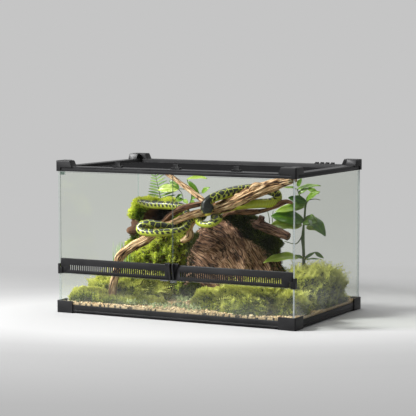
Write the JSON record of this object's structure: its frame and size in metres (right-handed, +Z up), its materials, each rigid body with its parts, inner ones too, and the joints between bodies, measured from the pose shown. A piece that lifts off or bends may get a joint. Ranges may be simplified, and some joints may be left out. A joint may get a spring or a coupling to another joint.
{
  "type": "reptile terrarium",
  "caption": "Front-opening glass terrarium with hinged vented doors, a lift-off mesh lid, clip-down catches, cable inlets and a planted interior.",
  "frame": {"origin": "on the table, under the middle of the tank", "axes": "+X to the right along the front, +Y from the front to the back, +Z up"},
  "size_m": [0.906, 0.5695, 0.527],
  "materials": {
    "frame_plastic": "moulded black ABS, fine grain",
    "black_nylon": "moulded black nylon",
    "lid_plastic": "moulded black plastic",
    "float_glass": "clear float glass with ground edges",
    "clear_silicone": "clear silicone bead",
    "clear_polycarbonate": "clear moulded polycarbonate",
    "catch_steel": "pressed stainless sheet",
    "screen_mesh": "woven black coated wire screen",
    "gravel": "rounded tan pebbles",
    "moss": "dense feathery moss",
    "bark": "rough grooved bark",
    "driftwood": "weathered grooved driftwood",
    "foliage": "waxy green leaf",
    "python_rubber": "satin scales, yellow-green and black"
  },
  "bodies": {
    "tank": {"foot_front_left": "frame_plastic", "foot_front_right": "frame_plastic", "foot_back_left": "frame_plastic", "foot_back_right": "frame_plastic", "bottom_rail_front": "frame_plastic", "bottom_rail_back": "frame_plastic", "bottom_rail_left": "frame_plastic", "bottom_rail_right": "frame_plastic", "base_panel": "float_glass", "back_pane": "float_glass", "left_pane": "float_glass", "right_pane": "float_glass", "lower_front_pane": "float_glass", "silicone_seams": "clear_silicone", "pivot_bracket_left": "black_nylon", "pivot_bracket_right": "black_nylon", "door_catch": "catch_steel", "top_rail_front": "frame_plastic", "top_rail_back": "frame_plastic", "top_rail_left": "frame_plastic", "top_rail_right": "frame_plastic", "top_corner_front_left": "frame_plastic", "top_corner_front_right": "frame_plastic", "top_corner_back_left": "frame_plastic", "top_corner_back_right": "frame_plastic", "gravel_bed": "gravel", "moss_front_left": "moss", "moss_front_right": "moss", "moss_middle": "moss", "moss_right": "moss", "mossy_mound": "moss", "bark_log": "bark", "log_moss": "moss", "log_root": "bark", "main_branch": "driftwood", "branch_fork": "driftwood", "upper_branch": "driftwood", "side_branch": "driftwood", "broadleaf_plant": "foliage", "fern": "foliage", "leafy_sprig": "foliage", "grass_tuft": "foliage", "python_figure": "python_rubber"},
    "left_door": {"left_door_glass": "float_glass", "left_vent_rail": "frame_plastic", "left_door_pull": "frame_plastic", "left_pivot_shoe": "clear_polycarbonate"},
    "right_door": {"right_door_glass": "float_glass", "right_vent_rail": "frame_plastic", "right_door_pull": "frame_plastic", "right_pivot_shoe": "clear_polycarbonate"},
    "lid": {"lid_frame": "lid_plastic", "lid_mesh": "screen_mesh"},
    "lid_clip_left": {"lid_clip_left": "black_nylon"},
    "lid_clip_middle": {"lid_clip_middle": "black_nylon"},
    "lid_clip_right": {"lid_clip_right": "black_nylon"},
    "cable_gate_1": {"cable_gate_1": "black_nylon"},
    "cable_gate_2": {"cable_gate_2": "black_nylon"},
    "cable_gate_3": {"cable_gate_3": "black_nylon"},
    "cable_gate_4": {"cable_gate_4": "black_nylon"}
  },
  "joints": [
    {"name": "left_door_hinge", "type": "hinge", "parent": "tank", "child": "left_door", "pos_m": [-0.4355, -0.2715, 0.158], "axis": [0, 0, -1], "range_deg": [0, 95]},
    {"name": "right_door_hinge", "type": "hinge", "parent": "tank", "child": "right_door", "pos_m": [0.4355, -0.2715, 0.158], "axis": [0, 0, 1], "range_deg": [0, 95]},
    {"name": "lid_lift", "type": "slide", "parent": "tank", "child": "lid", "axis": [0, 0, 1], "range_m": [0, 0.12]},
    {"name": "lid_clip_left_slide", "type": "slide", "parent": "tank", "child": "lid_clip_left", "axis": [0, 1, 0], "range_m": [0, 0.008]},
    {"name": "lid_clip_middle_slide", "type": "slide", "parent": "tank", "child": "lid_clip_middle", "axis": [0, 1, 0], "range_m": [0, 0.008]},
    {"name": "lid_clip_right_slide", "type": "slide", "parent": "tank", "child": "lid_clip_right", "axis": [0, 1, 0], "range_m": [0, 0.008]},
    {"name": "cable_gate_1_slide", "type": "slide", "parent": "tank", "child": "cable_gate_1", "axis": [0, -1, 0], "range_m": [0, 0.01]},
    {"name": "cable_gate_2_slide", "type": "slide", "parent": "tank", "child": "cable_gate_2", "axis": [0, -1, 0], "range_m": [0, 0.01]},
    {"name": "cable_gate_3_slide", "type": "slide", "parent": "tank", "child": "cable_gate_3", "axis": [0, -1, 0], "range_m": [0, 0.01]},
    {"name": "cable_gate_4_slide", "type": "slide", "parent": "tank", "child": "cable_gate_4", "axis": [0, -1, 0], "range_m": [0, 0.01]}
  ]
}
